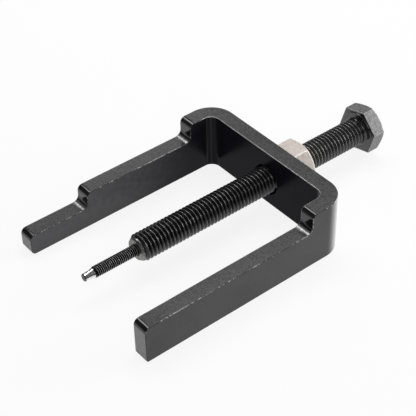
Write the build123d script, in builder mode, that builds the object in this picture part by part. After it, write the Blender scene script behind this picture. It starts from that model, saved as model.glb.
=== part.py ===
"""Clutch roller pin extractor.

A stepped U-shaped yoke bent from flat bar, a fully threaded draw screw with a
hexagon head, a tall hexagon nut behind the yoke, and a small threaded stud with a
plain pilot pin, screwed into the end of the draw screw.

Millimetres. +Z is up and the yoke stands on its straight lower edges at Z = 0.
The origin is the centre of the underside of the bridge. The arms and the screw's
tip point along -Y, the hexagon head is at +Y, and the two-step arm is at -X.
Threads that show are plain cylinders at their major diameter, and the thread that
holds the stud is a plain pocket at the size of its tapping drill.
"""

from build123d import *
from math import cos, radians, tan
import os

os.makedirs("parts", exist_ok=True)

# Bent bar
bar_thickness = 6.0
bar_height = 21.4
yoke_width = 70.0
yoke_reach = 84.6
inside_bend_radius = 3.5

# Stepped arms, lengths measured from the back of the bridge
left_shoulder_length = 16.0
right_shoulder_length = 16.3
arm_height = 14.2
nose_start_length = 61.0
nose_height = 8.0
corner_radius = 2.0
step_fillet_radius = 2.4
edge_break = 0.3

# Draw screw
screw_diameter = 10.0
screw_axis_height = 9.6
screw_length = 100.0
head_across_flats = 16.0
head_height = 6.0
washer_face_diameter = 14.6
washer_face_thickness = 0.4
screw_end_taper_depth = 1.25
screw_end_taper_length = 1.8

# Nut
nut_across_flats = 16.0
nut_height = 10.2
nut_countersink_diameter = 10.8

# Hexagon ends are chamfered back from a circle inside the flats
hexagon_face_share = 0.95
hexagon_chamfer_angle = 30.0

# How far a corner of each hexagon leans from straight up towards +X, in degrees
head_turn = 17.0
nut_turn = 30.0

# Stud
stud_diameter = 4.0
stud_thread_exposed = 16.9
stud_engagement = 10.0
stud_end_chamfer = 0.4
stud_pocket_diameter = 3.3
neck_length = 1.0
pilot_diameter = 2.8
pilot_length = 2.8
pilot_end_chamfer = 0.25
pocket_spare_depth = 1.2
pocket_countersink = 0.2
drill_point_half_angle = 59.0

# Radial clearances between pieces
bridge_hole_clearance = 0.75
nut_thread_clearance = 0.05
stud_pocket_clearance = 0.02

# Bare thread between the nut and the head, as the screw stands at rest
head_standoff = 27.4

# Places along Y that follow from the sizes above
bridge_back = bar_thickness / 2
bridge_front = -bar_thickness / 2
arm_tip = bridge_back - yoke_reach
nut_rear = bridge_back + nut_height
head_underside = nut_rear + head_standoff
head_top = head_underside + head_height
screw_end = head_underside - screw_length
stud_inner_end = screw_end + stud_engagement
stud_thread_end = screw_end - stud_thread_exposed
pilot_start = stud_thread_end - neck_length
pilot_end = pilot_start - pilot_length

# The screw's axis, and the plane that holds the turned profiles: X is the radius
screw_axis = Axis((0, 0, screw_axis_height), (0, 1, 0))
profile_plane = Plane.XY.offset(screw_axis_height)


def across_axis(y):
    """Plane square to the screw's axis at a place along Y, facing the head."""
    return Plane(origin=(0, y, screw_axis_height), x_dir=(1, 0, 0), z_dir=(0, 1, 0))


def hexagon_corner_radius(across_flats):
    """Radius of the circle through the corners of a hexagon."""
    return across_flats / 2 / cos(radians(30))


def hexagon_chamfer_drop(across_flats):
    """How far an end chamfer runs down the corners of a hexagon."""
    face_radius = hexagon_face_share * across_flats / 2
    radial_depth = hexagon_corner_radius(across_flats) - face_radius
    return radial_depth * tan(radians(hexagon_chamfer_angle))


def hexagon_rotation(turn):
    """Sketch rotation that leans a corner from straight up towards +X."""
    return turn - 90


# Yoke: flat bar bent to a U, with stepped upper edges on its arms
with BuildPart() as yoke:
    with BuildSketch(Plane.XY) as bar_outline:
        with Locations((0, bridge_back)):
            Rectangle(yoke_width, yoke_reach, align=(Align.CENTER, Align.MAX))
        fillet(
            bar_outline.vertices().group_by(Axis.Y)[-1],
            radius=inside_bend_radius + bar_thickness,
        )
    extrude(amount=bar_height)
    with BuildSketch(Plane.XY) as inside_outline:
        with Locations((0, bridge_front)):
            Rectangle(
                yoke_width - 2 * bar_thickness,
                yoke_reach,
                align=(Align.CENTER, Align.MAX),
            )
        fillet(
            inside_outline.vertices().group_by(Axis.Y)[-1],
            radius=inside_bend_radius,
        )
    extrude(amount=bar_height, mode=Mode.SUBTRACT)

    # Each step takes away the bar above it, from the step to past the arm's tip
    steps = [
        (-1, left_shoulder_length, arm_height),
        (-1, nose_start_length, nose_height),
        (1, right_shoulder_length, arm_height),
    ]
    for side, step_length, step_height in steps:
        arm_centre = side * (yoke_width - bar_thickness) / 2
        with Locations((arm_centre, bridge_back - step_length, step_height)):
            Box(
                2 * bar_thickness,
                yoke_reach,
                bar_height,
                align=(Align.CENTER, Align.MAX, Align.MIN),
                mode=Mode.SUBTRACT,
            )

    # Steps and arm tips are rounded as seen from the side
    inner_corners = [
        (bridge_back - step_length, step_height) for _, step_length, step_height in steps
    ]
    outer_corners = [
        (bridge_back - left_shoulder_length, bar_height),
        (bridge_back - right_shoulder_length, bar_height),
        (bridge_back - nose_start_length, arm_height),
        (arm_tip, arm_height),
        (arm_tip, nose_height),
    ]

    def edges_at(corners):
        """Edges across the bar whose Y and Z are those of a corner."""
        return yoke.edges().filter_by(Axis.X).filter_by(
            lambda edge: any(
                abs(edge.center().Y - y) < edge_break and abs(edge.center().Z - z) < edge_break
                for y, z in corners
            )
        )

    fillet(edges_at(inner_corners), radius=step_fillet_radius)
    fillet(edges_at(outer_corners), radius=corner_radius)

    def is_square_edge(edge):
        """True where two faces of the bar meet squarely, not along a bend or rounding."""
        shoulder_end = bridge_back - min(left_shoulder_length, right_shoulder_length)
        beyond_shoulders = edge.center().Y < shoulder_end + edge_break
        if edge in yoke.edges().filter_by(Axis.X):
            return not beyond_shoulders or edge.center().Z < edge_break
        if edge in yoke.edges().filter_by(Axis.Z):
            return beyond_shoulders
        return True

    chamfer(yoke.edges().filter_by(is_square_edge), length=edge_break)

    # Clearance hole for the screw, its rims broken like the bar's edges
    hole_radius = screw_diameter / 2 + bridge_hole_clearance
    with BuildSketch(across_axis(bridge_front)):
        Circle(hole_radius)
    extrude(amount=bar_thickness, mode=Mode.SUBTRACT)
    hole_rims = yoke.edges(Select.LAST).filter_by(GeomType.CIRCLE)
    chamfer(hole_rims, length=edge_break)
yoke.part.label = "yoke"


# Draw screw: hexagon head on a washer face, threaded shank and pocket for the stud
with BuildPart() as draw_screw:
    flats_start = head_underside + washer_face_thickness
    with BuildSketch(across_axis(flats_start)):
        RegularPolygon(
            head_across_flats / 2,
            side_count=6,
            major_radius=False,
            rotation=hexagon_rotation(head_turn),
        )
    extrude(amount=head_top - flats_start)
    head_corner_radius = hexagon_corner_radius(head_across_flats)
    head_chamfer_start = head_top - hexagon_chamfer_drop(head_across_flats)
    with BuildSketch(profile_plane):
        with BuildLine():
            Polyline(
                (0, flats_start),
                (head_corner_radius, flats_start),
                (head_corner_radius, head_chamfer_start),
                (hexagon_face_share * head_across_flats / 2, head_top),
                (0, head_top),
                close=True,
            )
        make_face()
    revolve(axis=screw_axis, mode=Mode.INTERSECT)

    screw_radius = screw_diameter / 2
    with BuildSketch(profile_plane):
        with BuildLine():
            Polyline(
                (0, flats_start),
                (washer_face_diameter / 2, flats_start),
                (washer_face_diameter / 2, head_underside),
                (screw_radius, head_underside),
                (screw_radius, screw_end + screw_end_taper_length),
                (screw_radius - screw_end_taper_depth, screw_end),
                (0, screw_end),
                close=True,
            )
        make_face()
    revolve(axis=screw_axis)

    # Blind pocket with a drill point and a countersunk mouth
    pocket_radius = stud_pocket_diameter / 2
    pocket_bottom = stud_inner_end + pocket_spare_depth
    drill_point_depth = pocket_radius / tan(radians(drill_point_half_angle))
    with BuildSketch(profile_plane):
        with BuildLine():
            Polyline(
                (0, screw_end),
                (pocket_radius + pocket_countersink, screw_end),
                (pocket_radius, screw_end + pocket_countersink),
                (pocket_radius, pocket_bottom),
                (0, pocket_bottom + drill_point_depth),
                close=True,
            )
        make_face()
    revolve(axis=screw_axis, mode=Mode.SUBTRACT)
draw_screw.part.label = "draw_screw"


# Nut: tall hexagon, chamfered at both ends and countersunk at both mouths
with BuildPart() as draw_nut:
    with BuildSketch(across_axis(bridge_back)):
        RegularPolygon(
            nut_across_flats / 2,
            side_count=6,
            major_radius=False,
            rotation=hexagon_rotation(nut_turn),
        )
    extrude(amount=nut_height)
    nut_corner_radius = hexagon_corner_radius(nut_across_flats)
    nut_face_radius = hexagon_face_share * nut_across_flats / 2
    nut_chamfer_drop = hexagon_chamfer_drop(nut_across_flats)
    bore_radius = screw_diameter / 2 + nut_thread_clearance
    mouth_radius = nut_countersink_diameter / 2
    mouth_depth = mouth_radius - bore_radius
    with BuildSketch(profile_plane):
        with BuildLine():
            Polyline(
                (mouth_radius, bridge_back),
                (nut_face_radius, bridge_back),
                (nut_corner_radius, bridge_back + nut_chamfer_drop),
                (nut_corner_radius, nut_rear - nut_chamfer_drop),
                (nut_face_radius, nut_rear),
                (mouth_radius, nut_rear),
                (bore_radius, nut_rear - mouth_depth),
                (bore_radius, bridge_back + mouth_depth),
                close=True,
            )
        make_face()
    revolve(axis=screw_axis, mode=Mode.INTERSECT)
draw_nut.part.label = "draw_nut"


# Stud: spigot in the screw's pocket, threaded length, tapered neck and pilot pin
with BuildPart() as tip_stud:
    stud_radius = stud_diameter / 2
    spigot_radius = stud_pocket_diameter / 2 - stud_pocket_clearance
    pilot_radius = pilot_diameter / 2
    with BuildSketch(profile_plane):
        with BuildLine():
            Polyline(
                (0, stud_inner_end),
                (spigot_radius - stud_end_chamfer, stud_inner_end),
                (spigot_radius, stud_inner_end - stud_end_chamfer),
                (spigot_radius, screw_end),
                (stud_radius, screw_end),
                (stud_radius, stud_thread_end + stud_end_chamfer),
                (stud_radius - stud_end_chamfer, stud_thread_end),
                (pilot_radius, pilot_start),
                (pilot_radius, pilot_end + pilot_end_chamfer),
                (pilot_radius - pilot_end_chamfer, pilot_end),
                (0, pilot_end),
                close=True,
            )
        make_face()
    revolve(axis=screw_axis)
tip_stud.part.label = "tip_stud"


for piece in (yoke, draw_screw, draw_nut, tip_stud):
    export_step(piece.part, f"parts/{piece.part.label}.step")
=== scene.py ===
"""Looks of the clutch roller pin extractor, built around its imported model.

Metres, in the model's own frame: +Z up, the arms and the stud towards -Y, the
hexagon head at +Y, and the two-step arm at -X.
"""

from math import atan2, cos, floor, pi, radians, sin, tan

import bpy
from mathutils import Matrix, Vector


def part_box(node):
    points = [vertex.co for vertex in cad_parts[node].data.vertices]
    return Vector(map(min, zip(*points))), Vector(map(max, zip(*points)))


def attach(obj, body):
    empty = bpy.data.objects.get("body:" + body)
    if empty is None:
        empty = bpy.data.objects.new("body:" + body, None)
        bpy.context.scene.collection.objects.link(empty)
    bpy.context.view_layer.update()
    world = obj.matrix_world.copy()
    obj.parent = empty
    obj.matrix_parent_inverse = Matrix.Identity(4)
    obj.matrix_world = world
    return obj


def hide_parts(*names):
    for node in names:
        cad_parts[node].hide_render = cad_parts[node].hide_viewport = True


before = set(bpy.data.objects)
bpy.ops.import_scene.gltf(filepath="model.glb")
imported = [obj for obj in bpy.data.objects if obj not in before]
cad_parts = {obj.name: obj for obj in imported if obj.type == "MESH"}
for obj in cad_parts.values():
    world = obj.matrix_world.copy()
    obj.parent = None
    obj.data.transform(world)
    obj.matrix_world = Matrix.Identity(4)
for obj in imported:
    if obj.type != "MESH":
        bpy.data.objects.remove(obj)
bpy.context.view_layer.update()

mm = 0.001

# Places read from the model
yoke_low, yoke_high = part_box("yoke")
screw_low, screw_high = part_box("draw_screw")
nut_low, nut_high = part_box("draw_nut")
stud_low, stud_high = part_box("tip_stud")
axis_height = (stud_low.z + stud_high.z) / 2

# Yoke
bar_thickness = 6.0 * mm
inside_bend_radius = 3.5 * mm
left_shoulder_length = 16.0 * mm
right_shoulder_length = 16.3 * mm
arm_height = 14.2 * mm
nose_start_length = 61.0 * mm
nose_height = 8.0 * mm
corner_radius = 2.0 * mm
step_fillet_radius = 2.4 * mm
left_tip_low_radius = 1.7 * mm
right_tip_low_radius = 0.8 * mm
edge_radius = 0.22 * mm
bridge_hole_radius = 5.75 * mm

# How far the normals of the yoke's faces point up at the foot of a step, where a
# highlight is painted, and, at most, at the sides of the arms' tips, and sideways
# inside a bend
step_foot_rise = 0.65
tip_side_rise = 0.5
bend_turn = 0.02

# Where, along Y, the painted shade inside the arms starts to lift towards the tips,
# and where it has lifted fully
inner_shade_fade_start = -13.0 * mm
inner_shade_fade_full = -64.0 * mm

# How much lighter still the inside of the arms is low down, a painted reflection of the
# floor, up to what height, and where that starts and is full, along Y
low_painted_reflection = 0.4
low_painted_reflection_height = 10.0 * mm
low_painted_reflection_start = -18.0 * mm
low_painted_reflection_full = -44.0 * mm

# Faint painted reflection lines inside each bend, as angles round it from the arm
bend_reflection_lines = (radians(12), radians(38))
bend_reflection_line_width = radians(7)

# Where the painted highlight round the outside of each bend grows and fades, as such
# angles too
bend_highlight_grows = (radians(3), radians(41))
bend_highlight_fades = (radians(60), radians(85))

# Sizes of the cloudy patches and of the grain in the yoke's black
yoke_patch_size = 22.0 * mm
yoke_grain_size = 0.3 * mm

# How the wear of the yoke's edges differs from the right arm's: more at the bridge, less
# again at its back, and less on the left arm and round the outside of the bends
more_wear_at_bridge = 0.16
less_wear_at_back = 0.3
less_wear_on_left = 0.06
less_wear_round_bends = 0.25

# Where along Y the bridge's and the bends' difference starts and is full
bridge_wear_start = -12.0 * mm
bridge_wear_full = -6.0 * mm
bend_wear_start = -15.0 * mm
bend_wear_full = -9.0 * mm

# These differences add to the edges' flecks and to this share of their patches. Steel
# starts to show at the first value of that sum, and is bare from the second on
edge_patch_share = 0.8
bare_steel_start = 0.84
bare_steel_full = 0.98

# Draw screw
screw_radius = 5.0 * mm
screw_pitch = 1.5 * mm
screw_thread_depth = 0.92 * mm
head_across_flats = 16.0 * mm
head_height = 6.0 * mm
head_edge_radius = 0.3 * mm
washer_face_radius = 7.3 * mm
washer_face_thickness = 0.4 * mm
head_turn = radians(17)
neck_under_head_length = 1.7 * mm
neck_under_head_flare = 0.8 * mm
neck_under_head_radius = 4.94 * mm
screw_end_taper_depth = 1.25 * mm
screw_end_taper_length = 1.8 * mm

# Nut
nut_across_flats = 16.0 * mm
nut_turn = radians(30)
nut_edge_radius = 0.3 * mm
nut_mouth_radius = 5.4 * mm
nut_thread_clearance = 0.05 * mm

# Hexagon ends are chamfered back from a circle inside the flats
hexagon_face_share = 0.95
hexagon_chamfer_angle = radians(30)

# Stud
stud_radius = 2.0 * mm
stud_pitch = 0.7 * mm
stud_thread_depth = 0.43 * mm
stud_engagement = 10.0 * mm
stud_thread_exposed = 16.9 * mm
stud_end_chamfer = 0.4 * mm
neck_radius = 1.75 * mm
neck_length = 1.0 * mm
pilot_radius = 1.4 * mm
pilot_end_chamfer = 0.25 * mm
pocket_radius = 2.06 * mm
pocket_mouth_radius = 2.3 * mm
pocket_depth = 11.2 * mm

# Greys of the threads' grooves in front of the nut and behind it
front_groove_grey = 0.008
rear_groove_grey = 0.034

# Places along the screw's axis that follow from the sizes above
screw_end = screw_low.y
head_top = screw_high.y
head_underside = head_top - head_height
stud_inner_end = screw_end + stud_engagement
stud_thread_end = screw_end - stud_thread_exposed
pilot_start = stud_thread_end - neck_length
pilot_end = stud_low.y

# How finely round shapes are divided
turned_steps = 72
thread_steps = 56
stud_thread_steps = 40
bend_steps = 28
rounding_steps = 8

# Cutting tools reach this far past what they cut
overshoot = 1.0 * mm

# Points closer than these are one point: where outlines meet, after a full turn, and
# before edges are rounded
weld_distance = 0.001 * mm
turned_weld_distance = 0.002 * mm
merge_distance = 0.02 * mm

# How far off a place a point may be and still count as there
corner_tolerance = 0.1 * mm
face_tolerance = 0.01 * mm
cut_tolerance = 0.0001 * mm

# The share of a face's normal along an axis from which it counts as square to it
square_on = 0.999
nearly_square_on = 0.9

# Roundings of sharp edges lie in each piece's second material
edge_material = 1
edge_steps = 3
sharp_angle = radians(33)
smooth_angle = radians(40)

# Patterns of random patches mostly stay between these values
patches_low = 0.3
patches_high = 0.7


# Modelling helpers, each one a step that would be done by hand
def select_only(piece):
    bpy.ops.object.select_all(action="DESELECT")
    piece.select_set(True)
    bpy.context.view_layer.objects.active = piece


def start_edit(piece, what="VERT"):
    """Opens the piece for editing with all of it selected."""
    select_only(piece)
    bpy.ops.object.mode_set(mode="EDIT")
    bpy.ops.mesh.select_mode(type=what)
    bpy.ops.mesh.select_all(action="SELECT")


def end_edit():
    bpy.ops.object.mode_set(mode="OBJECT")


def settle(piece):
    """Puts the piece's place and turn into its mesh."""
    select_only(piece)
    bpy.ops.object.transform_apply(location=True, rotation=True, scale=True)


def apply_modifier(piece, kind, **settings):
    select_only(piece)
    modifier = piece.modifiers.new(kind.lower(), kind)
    for name, value in settings.items():
        setattr(modifier, name, value)
    bpy.ops.object.modifier_apply(modifier=modifier.name)


def combine(piece, tool, operation):
    """Cuts the tool from the piece, joins it on, or keeps what they share."""
    apply_modifier(piece, "BOOLEAN", object=tool, operation=operation, solver="EXACT")
    bpy.data.objects.remove(tool)


def draw_line(name, points, close=False):
    """A row of edges through points, extruded from one vertex to the next."""
    bpy.ops.object.select_all(action="DESELECT")
    bpy.ops.mesh.primitive_plane_add(size=mm, location=points[0])
    piece = bpy.context.object
    piece.name = name
    start_edit(piece)
    bpy.ops.mesh.merge(type="CENTER")
    here = Vector(points[0])
    for point in points[1:] + (points[:1] if close else []):
        step = Vector(point) - here
        bpy.ops.mesh.extrude_vertices_move(TRANSFORM_OT_translate={"value": step})
        here = Vector(point)
    bpy.ops.mesh.select_all(action="SELECT")
    if close:
        bpy.ops.mesh.remove_doubles(threshold=weld_distance)
    end_edit()
    settle(piece)
    return piece


def turn(name, outline, steps=turned_steps):
    """An outline of (radius, y) points, its ends on the screw's axis, spun round it."""
    points = [(radius, y, axis_height) for radius, y in outline]
    piece = draw_line(name, points)
    start_edit(piece)
    bpy.ops.mesh.spin(
        steps=steps, angle=2 * pi, center=(0, 0, axis_height), axis=(0, 1, 0)
    )
    bpy.ops.mesh.select_all(action="SELECT")
    bpy.ops.mesh.remove_doubles(threshold=turned_weld_distance)
    bpy.ops.mesh.normals_make_consistent(inside=False)
    end_edit()
    return piece


def box_between(name, low, high):
    low, high = Vector(low), Vector(high)
    bpy.ops.object.select_all(action="DESELECT")
    bpy.ops.mesh.primitive_cube_add(size=1, location=(low + high) / 2, scale=high - low)
    piece = bpy.context.object
    piece.name = name
    settle(piece)
    return piece


def round_edges(piece, is_wanted, radius):
    """Rounds the edges whose middle and direction pass the test."""
    start_edit(piece, "EDGE")
    bpy.ops.mesh.select_all(action="DESELECT")
    end_edit()
    vertices = piece.data.vertices
    for edge in piece.data.edges:
        start, end = (vertices[index].co for index in edge.vertices)
        edge.select = is_wanted((start + end) / 2, (end - start).normalized())
    bpy.ops.object.mode_set(mode="EDIT")
    bpy.ops.mesh.bevel(
        offset_type="OFFSET", offset=radius, segments=rounding_steps, affect="EDGES"
    )
    end_edit()


def soften(piece, radius):
    """Rounds every sharp edge a little, in the piece's second material."""
    start_edit(piece)
    bpy.ops.mesh.remove_doubles(threshold=merge_distance)
    end_edit()
    apply_modifier(
        piece,
        "BEVEL",
        width=radius,
        segments=edge_steps,
        limit_method="ANGLE",
        angle_limit=sharp_angle,
        material=edge_material,
    )


def shade(piece):
    """Shades round parts smoothly and keeps flat faces flat."""
    select_only(piece)
    bpy.ops.object.shade_smooth_by_angle(angle=smooth_angle)
    apply_modifier(piece, "WEIGHTED_NORMAL", keep_sharp=True)


def give_materials(piece, *materials):
    for material in materials:
        piece.data.materials.append(material)


def choose_materials(piece, choose):
    """Asks which material each face takes from its centre and normal, edges apart."""
    for face in piece.data.polygons:
        if face.material_index != edge_material:
            face.material_index = choose(face.center, face.normal)


def corner_distance(across_flats):
    """How far a hexagon's corners are from its middle."""
    return across_flats / 2 / cos(pi / 6)


def hexagon(name, across_flats, low_y, high_y, corner_turn):
    """A six-sided bar on the screw's axis, one corner leaning towards +X."""
    bpy.ops.object.select_all(action="DESELECT")
    bpy.ops.mesh.primitive_cylinder_add(
        vertices=6,
        radius=corner_distance(across_flats),
        depth=high_y - low_y,
        location=(0, (low_y + high_y) / 2, axis_height),
        rotation=(pi / 2, 0, 0),
    )
    piece = bpy.context.object
    piece.name = name
    settle(piece)
    corner = max(piece.data.vertices, key=lambda vertex: vertex.co.z).co
    present = atan2(corner.x, corner.z - axis_height)
    turn_back = Matrix.Rotation(corner_turn - present, 4, (0, 1, 0))
    centre = Matrix.Translation((0, 0, axis_height))
    piece.data.transform(centre @ turn_back @ centre.inverted())
    return piece


def hexagon_envelope(name, across_flats, low_y, high_y, chamfer_low):
    """Turned blank that holds a hexagon's chamfered ends."""
    wide = corner_distance(across_flats) + overshoot
    face_radius = hexagon_face_share * across_flats / 2
    drop = (wide - face_radius) * tan(hexagon_chamfer_angle)
    if chamfer_low:
        near_end = [(0, low_y), (face_radius, low_y), (wide, low_y + drop)]
    else:
        near_end = [
            (0, low_y),
            (washer_face_radius, low_y),
            (washer_face_radius, low_y + washer_face_thickness),
            (wide, low_y + washer_face_thickness),
        ]
    far_end = [(wide, high_y - drop), (face_radius, high_y), (0, high_y)]
    return turn(name, near_end + far_end)


# One pitch of a rolled thread: share of the pitch, and share of the depth there
thread_form = [
    (0.00, 0.00),
    (0.06, 0.03),
    (0.12, 0.14),
    (0.39, 0.88),
    (0.44, 0.97),
    (0.50, 1.00),
    (0.56, 0.97),
    (0.61, 0.88),
    (0.88, 0.14),
    (0.94, 0.03),
    (1.00, 0.00),
]


def thread(name, crest_radius, depth, pitch, low_y, high_y, steps, phase_y):
    """A solid right-handed screw thread, with a root at phase_y on its +X side."""
    root_radius = crest_radius - depth
    first = phase_y + pitch * (floor((low_y - phase_y) / pitch) - 1)
    turns = int((high_y - first) / pitch) + 2
    profile = [
        (root_radius + depth * rise, first + pitch * along, 0)
        for along, rise in thread_form
    ]
    piece = draw_line(name, profile)
    apply_modifier(
        piece,
        "SCREW",
        axis="Y",
        angle=2 * pi,
        screw_offset=pitch,
        iterations=turns,
        steps=steps,
        use_merge_vertices=True,
        merge_threshold=weld_distance,
    )
    start_edit(piece)
    bpy.ops.mesh.remove_doubles(threshold=weld_distance)
    bpy.ops.mesh.normals_make_consistent(inside=False)
    for place, outwards in ((low_y, -1), (high_y, 1)):
        bpy.ops.mesh.select_all(action="SELECT")
        bpy.ops.mesh.bisect(
            plane_co=(0, place, 0),
            plane_no=(0, outwards, 0),
            use_fill=True,
            clear_outer=True,
            threshold=cut_tolerance,
        )
    bpy.ops.mesh.select_all(action="SELECT")
    bpy.ops.mesh.normals_make_consistent(inside=False)
    bpy.ops.transform.translate(value=(0, 0, axis_height))
    end_edit()
    return piece


def trim_crests(piece, limit):
    """Brings every point in to the radius that limit allows at its place."""
    for vertex in piece.data.vertices:
        radial = Vector((vertex.co.x, vertex.co.z - axis_height))
        allowed = limit(vertex.co.y)
        if radial.length > allowed:
            radial *= allowed / radial.length
            vertex.co.x = radial.x
            vertex.co.z = axis_height + radial.y


# Pieces
def bend_bar():
    """The plain bar, drawn out from one arm's end round both bends to the other."""
    half_width = yoke_high.x
    tip = yoke_low.y
    outside_radius = inside_bend_radius + bar_thickness
    bend_start = yoke_high.y - outside_radius
    section = [
        (-half_width, tip, yoke_low.z),
        (-half_width + bar_thickness, tip, yoke_low.z),
        (-half_width + bar_thickness, tip, yoke_high.z),
        (-half_width, tip, yoke_high.z),
    ]
    piece = draw_line("yoke_bar", section, close=True)
    start_edit(piece, "EDGE")
    along = bend_start - tip
    across = 2 * (half_width - outside_radius)
    bend = {"steps": bend_steps, "axis": (0, 0, 1), "angle": pi / 2}
    bpy.ops.mesh.extrude_edges_move(TRANSFORM_OT_translate={"value": (0, along, 0)})
    bpy.ops.mesh.spin(center=(-half_width + outside_radius, bend_start, 0), **bend)
    bpy.ops.mesh.extrude_edges_move(TRANSFORM_OT_translate={"value": (across, 0, 0)})
    bpy.ops.mesh.spin(center=(half_width - outside_radius, bend_start, 0), **bend)
    bpy.ops.mesh.extrude_edges_move(TRANSFORM_OT_translate={"value": (0, -along, 0)})
    bpy.ops.mesh.edge_face_add()
    bpy.ops.mesh.select_all(action="DESELECT")
    bpy.ops.mesh.select_non_manifold()
    bpy.ops.mesh.edge_face_add()
    bpy.ops.mesh.select_all(action="SELECT")
    bpy.ops.mesh.normals_make_consistent(inside=False)
    end_edit()
    return piece


def runs_across(direction):
    """True for an edge that runs across an arm, along X."""
    return abs(direction.x) > nearly_square_on


def make_yoke():
    """Flat bar bent to a U, its arms stepped down, with the hole for the screw."""
    piece = bend_bar()
    tip = yoke_low.y
    back = yoke_high.y

    # Each step takes away the bar above it, from the step to past the arm's tip
    steps = [
        (-1, left_shoulder_length, arm_height),
        (-1, nose_start_length, nose_height),
        (1, right_shoulder_length, arm_height),
    ]
    for side, length, height in steps:
        faces = (side * yoke_high.x, side * (yoke_high.x - bar_thickness))
        low = (min(faces) - overshoot, tip - overshoot, height)
        high = (max(faces) + overshoot, back - length, yoke_high.z + overshoot)
        cut = box_between("step_cut", low, high)

        def is_inner_corner(middle, direction):
            at_step = middle.y > back - length - overshoot
            return runs_across(direction) and at_step and middle.z < height + overshoot

        round_edges(cut, is_inner_corner, step_fillet_radius)
        combine(piece, cut, "DIFFERENCE")

    # The steps' outer corners and the arms' tips are rounded as seen from the side
    outer_corners = [
        (back - left_shoulder_length, yoke_high.z),
        (back - right_shoulder_length, yoke_high.z),
        (back - nose_start_length, arm_height),
        (tip, arm_height),
        (tip, nose_height),
    ]

    def is_outer_corner(middle, direction):
        return runs_across(direction) and any(
            abs(middle.y - y) < corner_tolerance and abs(middle.z - z) < corner_tolerance
            for y, z in outer_corners
        )

    round_edges(piece, is_outer_corner, corner_radius)
    for side, radius in ((-1, left_tip_low_radius), (1, right_tip_low_radius)):

        def is_low_tip(middle, direction):
            at_tip = middle.y < tip + corner_tolerance
            is_low = middle.z < yoke_low.z + corner_tolerance
            return runs_across(direction) and at_tip and is_low and middle.x * side > 0

        round_edges(piece, is_low_tip, radius)

    outer, edge, cut_face, arm_inside, arm_end = range(5)
    step, step_foot_highlight, bridge_inside, bend_inside = range(5, 9)
    give_materials(
        piece,
        yoke_outer_black(),
        yoke_worn_edge(),
        yoke_cut_face(),
        yoke_arm_inside_black(),
        yoke_arm_end_grey(),
        yoke_step_black(),
        yoke_step_foot_highlight(),
        yoke_bridge_inside_black(),
        yoke_bend_inside_black(),
    )
    soften(piece, edge_radius)

    # The hole's rims flare by the same amount, and stay dark in the bridge's inside black,
    # with its painted shade
    front = back - bar_thickness
    flare_radius = bridge_hole_radius + edge_radius
    hole = turn(
        "hole",
        [
            (0, front - overshoot),
            (flare_radius + overshoot, front - overshoot),
            (bridge_hole_radius, front + edge_radius),
            (bridge_hole_radius, back - edge_radius),
            (flare_radius + overshoot, back + overshoot),
            (0, back + overshoot),
        ],
    )
    combine(piece, hole, "DIFFERENCE")
    bend_inside_start = front - inside_bend_radius

    def at_step_foot(centre):
        return any(0 < centre.z - height < step_fillet_radius for _, _, height in steps)

    def choose(centre, normal):
        if abs(normal.z) > square_on:
            return cut_face
        if centre.y < bend_inside_start:
            if abs(normal.x) < nearly_square_on:
                if centre.y < tip + edge_radius and normal.y < -square_on:
                    return arm_end
                # The foot of a step takes a painted highlight
                faces_up = normal.z > step_foot_rise
                return step_foot_highlight if faces_up and at_step_foot(centre) else step
            return arm_inside if centre.x * normal.x < 0 else outer
        inwards = Vector((-centre.x, bend_inside_start - centre.y, 0))
        in_hole = abs(centre.x) < flare_radius and front < centre.y < back
        if inwards.dot(normal) < 0 and not in_hole:
            return outer
        in_bend = abs(normal.x) > bend_turn and not in_hole
        return bend_inside if in_bend else bridge_inside

    choose_materials(piece, choose)

    # The rounded edges at the sides of the arms' tips are black too
    for face in piece.data.polygons:
        on_tip_side = face.center.y < tip + edge_radius and abs(face.normal.z) < tip_side_rise
        if face.material_index == edge and on_tip_side:
            face.material_index = step
    shade(piece)
    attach(piece, "yoke")
    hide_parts("yoke")


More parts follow.
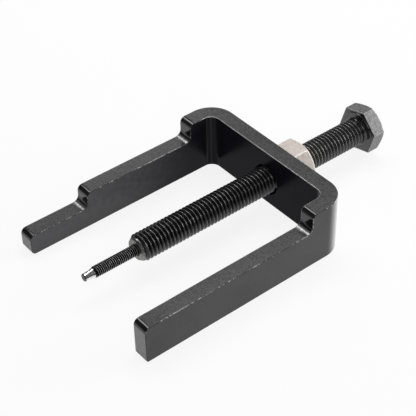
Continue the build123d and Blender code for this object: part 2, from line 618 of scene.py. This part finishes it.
def make_draw_screw():
    """Threaded screw with a hexagon head and a drilled end that takes the stud."""
    piece = hexagon(
        "draw_screw_threaded",
        head_across_flats,
        head_underside - overshoot,
        head_top + overshoot,
        head_turn,
    )
    blank = hexagon_envelope(
        "head_blank", head_across_flats, head_underside, head_top, chamfer_low=False
    )
    combine(piece, blank, "INTERSECT")
    oxide, bright_edge, flats, taper, underside = range(5)
    give_materials(
        piece,
        screw_black(),
        head_worn_edge(),
        head_steel(),
        screw_end_steel(),
        head_underside_black(),
    )
    soften(piece, head_edge_radius)

    shank = thread(
        "shank",
        screw_radius,
        screw_thread_depth,
        screw_pitch,
        screw_end,
        head_underside + overshoot,
        thread_steps,
        screw_end,
    )
    slope = screw_end_taper_depth / screw_end_taper_length
    start_radius = screw_radius - screw_end_taper_depth
    trim_crests(shank, lambda y: start_radius + slope * (y - screw_end))
    pocket = turn(
        "pocket",
        [
            (0, screw_end - overshoot),
            (pocket_mouth_radius + overshoot, screw_end - overshoot),
            (pocket_radius, screw_end + pocket_mouth_radius - pocket_radius),
            (pocket_radius, screw_end + pocket_depth),
            (0, screw_end + pocket_depth + pocket_radius / 2),
        ],
        stud_thread_steps,
    )
    combine(shank, pocket, "DIFFERENCE")

    # Under the head the thread runs out into a plain neck, which flares to meet it
    flare = neck_under_head_flare
    neck_start = head_underside - neck_under_head_length
    neck_outline = [
        (0, neck_start - flare),
        (screw_radius - screw_thread_depth, neck_start - flare),
        (neck_under_head_radius, neck_start),
    ]
    for index in range(rounding_steps + 1):
        angle = pi / 2 * (1 - index / rounding_steps)
        neck_outline.append(
            (
                neck_under_head_radius + flare * (1 - sin(angle)),
                head_underside - flare + flare * cos(angle),
            )
        )
    sunk = head_underside + washer_face_thickness / 2
    neck_outline += [(neck_under_head_radius + flare, sunk), (0, sunk)]
    combine(shank, turn("neck", neck_outline), "UNION")
    combine(piece, shank, "UNION")

    for face in piece.data.polygons:
        y = face.center.y
        if y < screw_end + screw_end_taper_length / 2:
            face.material_index = taper
        elif y < neck_start:
            face.material_index = oxide
        elif y < head_underside + washer_face_thickness + face_tolerance:
            face.material_index = underside
        elif face.material_index != bright_edge:
            face.material_index = flats
    shade(piece)
    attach(piece, "screw")
    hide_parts("draw_screw")


def make_draw_nut():
    """Tall nut, chamfered and countersunk at both ends, with its own thread."""
    low, high = nut_low.y, nut_high.y
    piece = hexagon(
        "draw_nut_threaded", nut_across_flats, low - overshoot, high + overshoot, nut_turn
    )
    blank = hexagon_envelope("nut_blank", nut_across_flats, low, high, chamfer_low=True)
    combine(piece, blank, "INTERSECT")
    plating, thread_face = 0, 2
    give_materials(piece, nut_plating(), nut_worn_edge_and_highlight(), nut_thread_steel())
    soften(piece, nut_edge_radius)

    root_radius = screw_radius - screw_thread_depth + nut_thread_clearance
    mouth_depth = nut_mouth_radius - root_radius
    countersinks = turn(
        "countersinks",
        [
            (0, low - overshoot),
            (nut_mouth_radius + overshoot, low - overshoot),
            (root_radius, low + mouth_depth),
            (root_radius, high - mouth_depth),
            (nut_mouth_radius + overshoot, high + overshoot),
            (0, high + overshoot),
        ],
    )
    combine(piece, countersinks, "DIFFERENCE")
    tap = thread(
        "tap",
        screw_radius + nut_thread_clearance,
        screw_thread_depth,
        screw_pitch,
        low - overshoot,
        high + overshoot,
        thread_steps,
        screw_end,
    )
    combine(piece, tap, "DIFFERENCE")

    def choose(centre, normal):
        radius = Vector((centre.x, centre.z - axis_height)).length
        return thread_face if radius < nut_mouth_radius else plating

    choose_materials(piece, choose)
    shade(piece)
    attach(piece, "nut")
    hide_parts("draw_nut")


def make_tip_stud():
    """Small stud with a tapered neck and a plain pilot pin."""
    piece = thread(
        "tip_stud_threaded",
        stud_radius,
        stud_thread_depth,
        stud_pitch,
        stud_thread_end,
        stud_inner_end,
        stud_thread_steps,
        stud_thread_end,
    )

    def limit(y):
        from_ends = min(y - stud_thread_end, stud_inner_end - y)
        return stud_radius - max(0, stud_end_chamfer - from_ends)

    trim_crests(piece, limit)
    pin = turn(
        "pin",
        [
            (0, stud_thread_end + stud_pitch / 2),
            (neck_radius, stud_thread_end + stud_pitch / 2),
            (neck_radius, stud_thread_end - stud_pitch / 8),
            (pilot_radius, pilot_start),
            (pilot_radius, pilot_end + pilot_end_chamfer),
            (pilot_radius - pilot_end_chamfer, pilot_end),
            (0, pilot_end),
        ],
    )
    combine(piece, pin, "UNION")
    oxide, end_face, bright = range(3)
    give_materials(piece, stud_black(), pilot_end_dark(), pilot_steel())
    for face in piece.data.polygons:
        at_end = face.center.y < pilot_end + pilot_end_chamfer
        on_pin = face.center.y < stud_thread_end
        face.material_index = end_face if at_end else bright if on_pin else oxide
    shade(piece)
    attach(piece, "screw")
    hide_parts("tip_stud")


# Material helpers
def start_material(name, plain_values):
    """A new material, with the values that are the same all over its surface."""
    material = bpy.data.materials.new(name)
    material.use_nodes = True
    shader = material.node_tree.nodes["Principled BSDF"]
    for socket, value in plain_values.items():
        shader.inputs[socket].default_value = value
    return material, material.node_tree, shader


def add_node(tree, kind, inputs, **settings):
    """A node whose inputs are plain values or other nodes' outputs."""
    node = tree.nodes.new(kind)
    for name, value in settings.items():
        setattr(node, name, value)
    for socket, value in inputs.items():
        if isinstance(value, bpy.types.NodeSocket):
            tree.links.new(value, node.inputs[socket])
        else:
            node.inputs[socket].default_value = value
    return node


def surface_point(tree):
    return add_node(tree, "ShaderNodeTexCoord", {}).outputs["Object"]


def patches(tree, size, detail=2.0):
    """Random patches about as large as size."""
    return add_node(
        tree,
        "ShaderNodeTexNoise",
        {"Vector": surface_point(tree), "Scale": 1 / size, "Detail": detail},
    ).outputs["Fac"]


def graded(tree, value, start, end, low=0.0, high=1.0):
    """Low where the value is at start, high at end, and smooth between."""
    # Inputs 1 and 2 are the value's range, 3 and 4 the result's
    return add_node(
        tree,
        "ShaderNodeMapRange",
        {"Value": value, 1: start, 2: end, 3: low, 4: high},
        interpolation_type="SMOOTHSTEP",
    ).outputs["Result"]


def varied(tree, pattern, low, high):
    """From low to high with a pattern of random patches."""
    return graded(tree, pattern, patches_low, patches_high, low, high)


def calculate(tree, operation, first, second=0.0):
    return add_node(
        tree, "ShaderNodeMath", {0: first, 1: second}, operation=operation
    ).outputs["Value"]


def grey(level):
    return (level, level, level)


def colours(tree, value, *stops):
    """Colours at places along a value, each given as (place, (red, green, blue))."""
    node = add_node(tree, "ShaderNodeValToRGB", {"Fac": value})
    ramp = node.color_ramp
    while len(ramp.elements) < len(stops):
        ramp.elements.new(1.0)
    for element, (place, colour) in zip(ramp.elements, stops):
        element.position = place
        element.color = (*colour, 1)
    return node.outputs["Color"]


def mixed(tree, share, first, second):
    """First colour where the share is 0 and second where it is 1."""
    # Inputs 6 and 7 and output 2 are the node's colour sockets
    return add_node(
        tree, "ShaderNodeMix", {0: share, 6: first, 7: second}, data_type="RGBA"
    ).outputs[2]


def distance_from_axis(tree):
    """How far the surface is from the screw's axis, in metres."""
    parts = add_node(tree, "ShaderNodeSeparateXYZ", {"Vector": surface_point(tree)})
    rise = calculate(tree, "SUBTRACT", parts.outputs["Z"], axis_height)
    squares = calculate(
        tree,
        "ADD",
        calculate(tree, "MULTIPLY", parts.outputs["X"], parts.outputs["X"]),
        calculate(tree, "MULTIPLY", rise, rise),
    )
    return calculate(tree, "SQRT", squares)


def connect(tree, source, shader, socket):
    tree.links.new(source, shader.inputs[socket])


def raise_surface(tree, shader, *layers):
    """Bumps, each given as (pattern, height in metres, strength)."""
    normal = None
    for pattern, height, strength in layers:
        inputs = {"Height": pattern, "Distance": height, "Strength": strength}
        if normal is not None:
            inputs["Normal"] = normal
        normal = add_node(tree, "ShaderNodeBump", inputs).outputs["Normal"]
    connect(tree, normal, shader, "Normal")


# Materials
def round_the_bend(tree):
    """Angle round the nearer bend, from the arm towards the bridge."""
    parts = add_node(tree, "ShaderNodeSeparateXYZ", {"Vector": surface_point(tree)})
    centre_x = yoke_high.x - bar_thickness - inside_bend_radius
    centre_y = yoke_high.y - bar_thickness - inside_bend_radius
    sideways = calculate(tree, "ABSOLUTE", parts.outputs["X"])
    return calculate(
        tree,
        "ARCTAN2",
        calculate(tree, "SUBTRACT", parts.outputs["Y"], centre_y),
        calculate(tree, "SUBTRACT", sideways, centre_x),
    )


def yoke_outer_black():
    """Smooth black oxide on the outside, with a painted highlight of bright steel round the
    bends.
    """
    material, tree, shader = start_material("yoke_outer_black", {"IOR": 1.47})
    cloud = patches(tree, yoke_patch_size, detail=3)
    grain = patches(tree, yoke_grain_size)
    angle = round_the_bend(tree)
    # Painted highlight: grey steel round the outside of each bend, where it mirrors the floor
    # at a slant
    painted_light_share = calculate(
        tree,
        "MULTIPLY",
        graded(tree, angle, *bend_highlight_grows),
        graded(tree, angle, *bend_highlight_fades, 1, 0),
    )
    black = colours(tree, cloud, (0.35, (0.017, 0.017, 0.019)), (0.65, (0.034, 0.031, 0.031)))
    connect(tree, mixed(tree, painted_light_share, black, (0.62, 0.62, 0.62, 1)), shader, "Base Color")
    connect(tree, graded(tree, painted_light_share, 0, 1, 0, 0.9), shader, "Metallic")
    connect(tree, varied(tree, cloud, 0.2, 0.26), shader, "Roughness")
    raise_surface(tree, shader, (grain, 0.004 * mm, 0.3))
    return material


def black_inside(name, specular_level, roughness, painted_reflection_lines=()):
    """Black oxide inside the yoke, with painted shade that darkens it towards the bridge and a
    painted reflection of the floor that lightens it low down towards the tips.
    """
    material, tree, shader = start_material(
        name, {"Specular IOR Level": specular_level, "Specular Tint": (0.88, 0.88, 1.0, 1)}
    )
    cloud = patches(tree, yoke_patch_size, detail=3)
    grain = patches(tree, yoke_grain_size)
    parts = add_node(tree, "ShaderNodeSeparateXYZ", {"Vector": surface_point(tree)})
    along, up = parts.outputs["Y"], parts.outputs["Z"]
    # Painted shade: darkest at the bridge, lifting towards the arms' tips, mottled at random
    painted_light_share = graded(tree, along, inner_shade_fade_start, inner_shade_fade_full)
    mottle = varied(tree, patches(tree, 2.2 * mm, detail=5), 0.72, 1.0)
    painted_light_share = calculate(tree, "MULTIPLY", calculate(tree, "SQRT", painted_light_share), mottle)
    # Painted reflection of the floor: lighter low down on the arms, towards the tips
    low_down = graded(tree, up, low_painted_reflection_height, 0, 0, low_painted_reflection)
    low_along = graded(tree, along, low_painted_reflection_start, low_painted_reflection_full)
    low_reflection_share = calculate(tree, "MULTIPLY", low_down, low_along)
    painted_light_share = calculate(tree, "ADD", painted_light_share, low_reflection_share)
    colour = mixed(tree, painted_light_share, (0.012, 0.012, 0.017, 1), (0.108, 0.107, 0.110, 1))
    # Painted reflections: faint lighter lines round the inside of the bend
    for reflection_angle in painted_reflection_lines:
        angle = round_the_bend(tree)
        line = calculate(
            tree,
            "MULTIPLY",
            graded(tree, angle, reflection_angle - bend_reflection_line_width, reflection_angle),
            graded(tree, angle, reflection_angle, reflection_angle + bend_reflection_line_width, 1, 0),
        )
        colour = mixed(tree, line, colour, (0.05, 0.05, 0.053, 1))
    connect(tree, colour, shader, "Base Color")
    uneven = varied(tree, cloud, roughness - 0.04, roughness + 0.04)
    connect(tree, uneven, shader, "Roughness")
    raise_surface(tree, shader, (grain, 0.006 * mm, 0.4))
    return material


def yoke_arm_inside_black():
    return black_inside("yoke_arm_inside_black", 0.1, 0.3)


def yoke_bridge_inside_black():
    return black_inside("yoke_bridge_inside_black", 0.04, 0.24)


def yoke_bend_inside_black():
    return black_inside("yoke_bend_inside_black", 0.08, 0.24, bend_reflection_lines)


def yoke_cut_face():
    """Black oxide over the grainy cut faces of the bar."""
    material, tree, shader = start_material("yoke_black_cut_face", {"IOR": 1.5})
    speckle = patches(tree, 0.45 * mm, detail=3)
    cloud = patches(tree, 9 * mm)
    colour = colours(tree, speckle, (0.4, grey(0.002)), (0.62, grey(0.047)))
    connect(tree, colour, shader, "Base Color")
    connect(tree, varied(tree, cloud, 0.28, 0.36), shader, "Roughness")
    raise_surface(tree, shader, (speckle, 0.025 * mm, 0.5))
    return material


def patchy_black(name, ior, patch_size, dark, light, roughness, bump):
    """Smooth black or dark grey, its patches from one (place, colour) to another."""
    material, tree, shader = start_material(name, {"IOR": ior})
    cloud = patches(tree, patch_size, detail=3)
    connect(tree, colours(tree, cloud, dark, light), shader, "Base Color")
    connect(tree, varied(tree, cloud, *roughness), shader, "Roughness")
    raise_surface(tree, shader, (cloud, *bump))
    return material


def yoke_step_black():
    """Glossy black on the steps and on the roundings over the arms' ends."""
    return patchy_black(
        "yoke_step_black",
        ior=1.53,
        patch_size=3 * mm,
        dark=(0.35, (0.003, 0.003, 0.004)),
        light=(0.7, grey(0.008)),
        roughness=(0.1, 0.15),
        bump=(0.01 * mm, 0.2),
    )


def yoke_arm_end_grey():
    """Flat ends of the arms in a smooth dark grey, painted lighter than the black for the light
    that the ends catch.
    """
    # Painted light: a lighter grey on the arms' end faces only
    return patchy_black(
        "yoke_arm_end_grey",
        ior=1.5,
        patch_size=2.5 * mm,
        dark=(0.3, grey(0.135)),
        light=(0.7, (0.195, 0.195, 0.194)),
        roughness=(0.3, 0.4),
        bump=(0.02 * mm, 0.2),
    )


def head_underside_black():
    """Smooth black oxide on the head's underside and the neck below it."""
    return patchy_black(
        "head_underside_black",
        ior=1.65,
        patch_size=2 * mm,
        dark=(0.35, (0.007, 0.007, 0.008)),
        light=(0.7, grey(0.024)),
        roughness=(0.14, 0.24),
        bump=(0.02 * mm, 0.3),
    )


def yoke_worn_edge():
    """Edges where the black is rubbed through to steel here and there."""
    material, tree, shader = start_material("yoke_worn_edge", {"IOR": 1.5})
    cloud = patches(tree, 9 * mm)
    fleck = patches(tree, 0.7 * mm, detail=4)
    parts = add_node(tree, "ShaderNodeSeparateXYZ", {"Vector": surface_point(tree)})
    across, along = parts.outputs["X"], parts.outputs["Y"]
    half_width = yoke_high.x
    middle = yoke_high.y - bar_thickness / 2
    at_bridge = graded(tree, along, bridge_wear_start, bridge_wear_full, 0, more_wear_at_bridge)
    at_back = graded(tree, along, middle, middle + mm, 0, -less_wear_at_back)
    on_left = graded(tree, across, bar_thickness - half_width, 0, -less_wear_on_left, 0)
    at_bends = graded(tree, along, bend_wear_start, bend_wear_full)
    on_outside = graded(
        tree,
        calculate(tree, "ABSOLUTE", across),
        half_width - bar_thickness / 2,
        half_width,
        0,
        -less_wear_round_bends,
    )
    round_bends = calculate(tree, "MULTIPLY", at_bends, on_outside)
    wear = calculate(tree, "MULTIPLY", cloud, edge_patch_share)
    for difference in (fleck, at_bridge, at_back, on_left, round_bends):
        wear = calculate(tree, "ADD", wear, difference)
    bare = graded(tree, wear, bare_steel_start, bare_steel_full)
    colour = mixed(tree, bare, (0.008, 0.008, 0.009, 1), (0.34, 0.335, 0.33, 1))
    connect(tree, colour, shader, "Base Color")
    connect(tree, graded(tree, bare, 0, 1, 0, 0.8), shader, "Metallic")
    connect(tree, varied(tree, fleck, 0.28, 0.42), shader, "Roughness")
    raise_surface(tree, shader, (fleck, 0.02 * mm, 0.4))
    return material


def thread_black(
    name,
    crest_radius,
    depth,
    crest_share,
    front_grey,
    rear_grey,
    crest_roughness,
    gloss,
    fleck_size,
):
    """Oiled black oxide on a thread, thinned to grey steel along its crests."""
    material, tree, shader = start_material(name, {"Specular IOR Level": gloss})
    fleck = patches(tree, fleck_size)
    near_crest = graded(
        tree,
        distance_from_axis(tree),
        crest_radius - crest_share * depth,
        crest_radius - crest_share * depth / 3,
    )
    bare = calculate(tree, "MULTIPLY", near_crest, graded(tree, fleck, 0.35, 0.65, 0.5, 1.0))
    parts = add_node(tree, "ShaderNodeSeparateXYZ", {"Vector": surface_point(tree)})
    along_nut = (parts.outputs["Y"], nut_low.y, nut_high.y)
    crest = graded(tree, *along_nut, front_grey, rear_grey)
    groove = graded(tree, *along_nut, front_groove_grey, rear_groove_grey)
    colour = mixed(tree, bare, groove, crest)
    connect(tree, colour, shader, "Base Color")
    connect(tree, graded(tree, bare, 0, 1, 0, 0.85), shader, "Metallic")
    connect(tree, graded(tree, bare, 0, 1, 0.2, crest_roughness), shader, "Roughness")
    raise_surface(tree, shader, (fleck, 0.004 * mm, 0.15))
    return material


def screw_black():
    return thread_black(
        "screw_black_oxide",
        crest_radius=screw_radius,
        depth=screw_thread_depth,
        crest_share=0.10,
        front_grey=0.2,
        rear_grey=0.25,
        crest_roughness=0.24,
        gloss=0.4,
        fleck_size=2.5 * mm,
    )


def stud_black():
    return thread_black(
        "stud_black_oxide",
        crest_radius=stud_radius,
        depth=stud_thread_depth,
        crest_share=0.13,
        front_grey=0.46,
        rear_grey=0.46,
        crest_roughness=0.5,
        gloss=0.03,
        fleck_size=1.2 * mm,
    )


def rubbed_steel(name, dark, light, patch_size, roughness, metallic):
    """Bare steel with a mottled surface, from a darker to a lighter grey."""
    material, tree, shader = start_material(name, {"Metallic": metallic})
    cloud = patches(tree, patch_size, detail=4)
    grain = patches(tree, 0.25 * mm)
    colour = colours(tree, cloud, (0.32, dark), (0.68, light))
    connect(tree, colour, shader, "Base Color")
    uneven = varied(tree, grain, roughness - 0.06, roughness + 0.08)
    connect(tree, uneven, shader, "Roughness")
    raise_surface(tree, shader, (cloud, 0.03 * mm, 0.25), (grain, 0.01 * mm, 0.35))
    return material


def yoke_step_foot_highlight():
    # Painted highlight: lighter steel along the foot of each step, for the light its rounding
    # catches
    return rubbed_steel(
        "yoke_step_foot_highlight",
        dark=grey(0.17),
        light=grey(0.3),
        patch_size=1.6 * mm,
        roughness=0.27,
        metallic=0.7,
    )


def head_steel():
    return rubbed_steel(
        "head_dull_steel",
        dark=(0.145, 0.145, 0.147),
        light=grey(0.23),
        patch_size=0.9 * mm,
        roughness=0.4,
        metallic=0.8,
    )


def head_worn_edge():
    return rubbed_steel(
        "head_bright_edge",
        dark=grey(0.26),
        light=grey(0.42),
        patch_size=0.9 * mm,
        roughness=0.34,
        metallic=0.6,
    )


def screw_end_steel():
    return rubbed_steel(
        "screw_end_grey_steel",
        dark=grey(0.08),
        light=(0.27, 0.265, 0.26),
        patch_size=0.9 * mm,
        roughness=0.26,
        metallic=0.8,
    )


def nut_plating():
    return rubbed_steel(
        "nut_pale_plating",
        dark=(0.47, 0.425, 0.385),
        light=(0.56, 0.515, 0.475),
        patch_size=1.4 * mm,
        roughness=0.42,
        metallic=0.85,
    )


def nut_worn_edge_and_highlight():
    # Partly worn plating and partly a painted highlight: near-white and mostly not metallic, so
    # the edges between the flats show bright from any side
    return rubbed_steel(
        "nut_bright_edge",
        dark=(0.72, 0.69, 0.65),
        light=(0.88, 0.86, 0.83),
        patch_size=0.8 * mm,
        roughness=0.3,
        metallic=0.3,
    )


def nut_thread_steel():
    return rubbed_steel(
        "nut_thread_steel",
        dark=(0.2, 0.18, 0.16),
        light=(0.36, 0.33, 0.3),
        patch_size=0.8 * mm,
        roughness=0.4,
        metallic=0.9,
    )


def pilot_steel():
    return rubbed_steel(
        "pilot_polished_steel",
        dark=(0.72, 0.72, 0.73),
        light=grey(0.88),
        patch_size=1.0 * mm,
        roughness=0.16,
        metallic=1.0,
    )


def pilot_end_dark():
    return rubbed_steel(
        "pilot_end_black",
        dark=(0.012, 0.012, 0.013),
        light=grey(0.05),
        patch_size=0.5 * mm,
        roughness=0.35,
        metallic=0.3,
    )


def floor_white():
    """White floor, mostly plain white where it is seen or mirrored, with a soft shadow."""
    material, tree, shader = start_material(
        "floor_white", {"Base Color": (0.88, 0.88, 0.88, 1), "Roughness": 0.9}
    )
    path = add_node(tree, "ShaderNodeLightPath", {})
    seen = path.outputs["Is Camera Ray"]
    for ray in ("Is Glossy Ray", "Is Transmission Ray"):
        seen = calculate(tree, "MAXIMUM", seen, path.outputs[ray])
    share = calculate(tree, "MULTIPLY", seen, floor_plain_white_share)
    white = add_node(tree, "ShaderNodeEmission", {"Color": (1, 1, 1, 1), "Strength": 1.0})
    blend = add_node(tree, "ShaderNodeMixShader", {0: share, 1: shader.outputs["BSDF"]})
    tree.links.new(white.outputs["Emission"], blend.inputs[2])
    tree.links.new(blend.outputs["Shader"], tree.nodes["Material Output"].inputs["Surface"])
    return material


# Setting
floor_size = 6.0
floor_drop = 0.02 * mm
floor_plain_white_share = 0.86

camera_place = Vector((258.106, -232.527, 289.483)) * mm
camera_azimuth = radians(51.718)
camera_elevation = radians(40.284)
camera_roll = radians(-1.293)
lens_length = 110.563
sensor_width = 36.0

object_centre = Vector((0, -20, 10)) * mm

# Soft lamps: turned from straight behind towards +X and raised, both in degrees, then
# width in metres and brightness
lamp_distance = 1.0
lamps = {
    "back_high": (-30, 62, 0.5, 5.07),
    "back_low": (15, 26, 0.5, 3.81),
    "back_right_low": (30, 14, 0.5, 5.46),
    "left_high": (-93, 57, 0.36, 5.5),
    "left_strip": (-60, 28, 0.25, 3.53),
    "right_front": (120, 38, 0.5, 2.36),
}
world_strength = 0.12


def add_floor():
    bpy.ops.object.select_all(action="DESELECT")
    bpy.ops.mesh.primitive_plane_add(size=floor_size, location=(0, 0, -floor_drop))
    floor_plane = bpy.context.object
    floor_plane.name = "floor"
    settle(floor_plane)
    give_materials(floor_plane, floor_white())


def add_lamps():
    for name, (turned, raised, width, brightness) in lamps.items():
        level = cos(radians(raised))
        towards = Vector(
            (sin(radians(turned)) * level, cos(radians(turned)) * level, sin(radians(raised)))
        )
        bpy.ops.object.light_add(
            type="AREA", location=object_centre + lamp_distance * towards
        )
        lamp = bpy.context.object
        lamp.name = name
        lamp.rotation_euler = towards.to_track_quat("Z", "Y").to_euler()
        lamp.data.shape = "SQUARE"
        lamp.data.size = width
        area = width**2
        lamp.data.energy = brightness * pi * area


def add_world():
    world = bpy.data.worlds.new("studio")
    world.use_nodes = True
    background = world.node_tree.nodes["Background"]
    background.inputs["Color"].default_value = (1, 1, 1, 1)
    background.inputs["Strength"].default_value = world_strength
    bpy.context.scene.world = world


def add_camera():
    bpy.ops.object.camera_add()
    camera = bpy.context.object
    camera.name = "camera"
    camera.matrix_world = (
        Matrix.Translation(camera_place)
        @ Matrix.Rotation(camera_azimuth, 4, "Z")
        @ Matrix.Rotation(pi / 2 - camera_elevation, 4, "X")
        @ Matrix.Rotation(camera_roll, 4, "Z")
    )
    camera.data.sensor_width = sensor_width
    camera.data.lens = lens_length
    camera.data.clip_start = 10 * mm
    bpy.context.scene.camera = camera


make_yoke()
make_draw_screw()
make_draw_nut()
make_tip_stud()
add_floor()
add_lamps()
add_world()
add_camera()
bpy.context.scene.view_settings.view_transform = "Standard"
